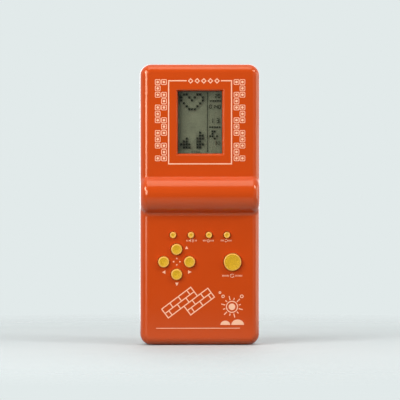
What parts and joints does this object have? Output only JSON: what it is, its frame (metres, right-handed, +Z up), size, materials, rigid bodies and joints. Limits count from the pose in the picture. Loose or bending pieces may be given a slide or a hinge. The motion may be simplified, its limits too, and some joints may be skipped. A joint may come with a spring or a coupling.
{
  "type": "handheld brick game",
  "caption": "Upright handheld falling-block game: two-part gloss case with a finger hump, recessed segment screen, sprung round keys and a tip-out battery cover.",
  "frame": {"origin": "middle of the flat bottom end that the case stands on", "axes": "+Z up along the case's length, -Y out of the front with the screen and keys, +Y out of the back, +X to the viewer's right"},
  "size_m": [0.075, 0.032, 0.177],
  "materials": {
    "orange_gloss": "gloss moulded, polished mould",
    "yellow_key": "fine spark texture on the face, smooth rim",
    "clear_lens": "clear acrylic, polished",
    "black_foam": "closed-cell foam",
    "polariser_film": "satin film",
    "lcd_glass": "polished",
    "reflector_film": "brushed film",
    "white_plastic": "moulded",
    "ribbon_film": "film with dark carbon lines",
    "zinc_screw": "zinc plated",
    "silicone": "matte",
    "carbon_rubber": "matte",
    "board": "paper laminate with green lacquer",
    "resin": "satin",
    "capacitor_sleeve": "printed sleeve",
    "ceramic_dip": "dipped",
    "resistor_coat": "lacquered, colour bands",
    "cell_steel": "nickel plated",
    "cell_label": "printed shrink sleeve",
    "nickel_wire": "nickel plated spring wire",
    "nickel_plate": "nickel plated strip",
    "buzzer_brass": "bright",
    "buzzer_ceramic": "silvered face",
    "wire_red": "insulated",
    "wire_black": "insulated",
    "wire_grey": "insulated"
  },
  "bodies": {
    "case": {"front_shell": "orange_gloss", "rear_shell": "orange_gloss", "screen_lens": "clear_lens", "screen_gasket": "black_foam", "lcd_front_polariser": "polariser_film", "lcd_front_glass": "lcd_glass", "lcd_rear_glass": "lcd_glass", "lcd_reflector": "reflector_film", "lcd_holder": "white_plastic", "lcd_ribbon": "ribbon_film", "lcd_screws": "zinc_screw", "board_screws": "zinc_screw", "case_screws": "zinc_screw", "keypad_mat": "silicone", "main_board": "board", "chip_blob": "resin", "electrolytic_capacitor": "capacitor_sleeve", "ceramic_capacitors": "ceramic_dip", "resistors": "resistor_coat", "battery_upper": "cell_steel", "battery_lower": "cell_steel", "battery_labels": "cell_label", "battery_spring_upper": "nickel_wire", "battery_spring_lower": "nickel_wire", "contact_link_plate": "nickel_plate", "contact_positive_plate": "nickel_plate", "contact_negative_plate": "nickel_plate", "buzzer_disc": "buzzer_brass", "buzzer_ceramic": "buzzer_ceramic", "buzzer_wires": "wire_grey", "wire_red": "wire_red", "wire_black": "wire_black"},
    "button_start": {"button_start": "yellow_key", "pill_start": "carbon_rubber"},
    "button_sound": {"button_sound": "yellow_key", "pill_sound": "carbon_rubber"},
    "button_power": {"button_power": "yellow_key", "pill_power": "carbon_rubber"},
    "button_reset": {"button_reset": "yellow_key", "pill_reset": "carbon_rubber"},
    "button_up": {"button_up": "yellow_key", "pill_up": "carbon_rubber"},
    "button_down": {"button_down": "yellow_key", "pill_down": "carbon_rubber"},
    "button_left": {"button_left": "yellow_key", "pill_left": "carbon_rubber"},
    "button_right": {"button_right": "yellow_key", "pill_right": "carbon_rubber"},
    "button_turn": {"button_turn": "yellow_key", "pill_turn": "carbon_rubber"},
    "battery_door": {"battery_cover": "orange_gloss", "battery_cover_latch": "orange_gloss"}
  },
  "joints": [
    {"name": "start_press", "type": "slide", "parent": "case", "child": "button_start", "axis": [0, 1, 0], "range_m": [0, 0.0012], "stiffness_N_per_m": 600, "deforming": ["keypad_mat"]},
    {"name": "sound_press", "type": "slide", "parent": "case", "child": "button_sound", "axis": [0, 1, 0], "range_m": [0, 0.0012], "stiffness_N_per_m": 600, "deforming": ["keypad_mat"]},
    {"name": "power_press", "type": "slide", "parent": "case", "child": "button_power", "axis": [0, 1, 0], "range_m": [0, 0.0012], "stiffness_N_per_m": 600, "deforming": ["keypad_mat"]},
    {"name": "reset_press", "type": "slide", "parent": "case", "child": "button_reset", "axis": [0, 1, 0], "range_m": [0, 0.0012], "stiffness_N_per_m": 600, "deforming": ["keypad_mat"]},
    {"name": "up_press", "type": "slide", "parent": "case", "child": "button_up", "axis": [0, 1, 0], "range_m": [0, 0.0012], "stiffness_N_per_m": 600, "deforming": ["keypad_mat"]},
    {"name": "down_press", "type": "slide", "parent": "case", "child": "button_down", "axis": [0, 1, 0], "range_m": [0, 0.0012], "stiffness_N_per_m": 600, "deforming": ["keypad_mat"]},
    {"name": "left_press", "type": "slide", "parent": "case", "child": "button_left", "axis": [0, 1, 0], "range_m": [0, 0.0012], "stiffness_N_per_m": 600, "deforming": ["keypad_mat"]},
    {"name": "right_press", "type": "slide", "parent": "case", "child": "button_right", "axis": [0, 1, 0], "range_m": [0, 0.0012], "stiffness_N_per_m": 600, "deforming": ["keypad_mat"]},
    {"name": "turn_press", "type": "slide", "parent": "case", "child": "button_turn", "axis": [0, 1, 0], "range_m": [0, 0.0012], "stiffness_N_per_m": 600, "deforming": ["keypad_mat"]},
    {"name": "battery_door_swing", "type": "hinge", "parent": "case", "child": "battery_door", "pos_m": [0, 0.016, 0.07895], "axis": [-1, 0, 0], "range_deg": [0, 75], "deforming": ["battery_cover_latch"]}
  ]
}
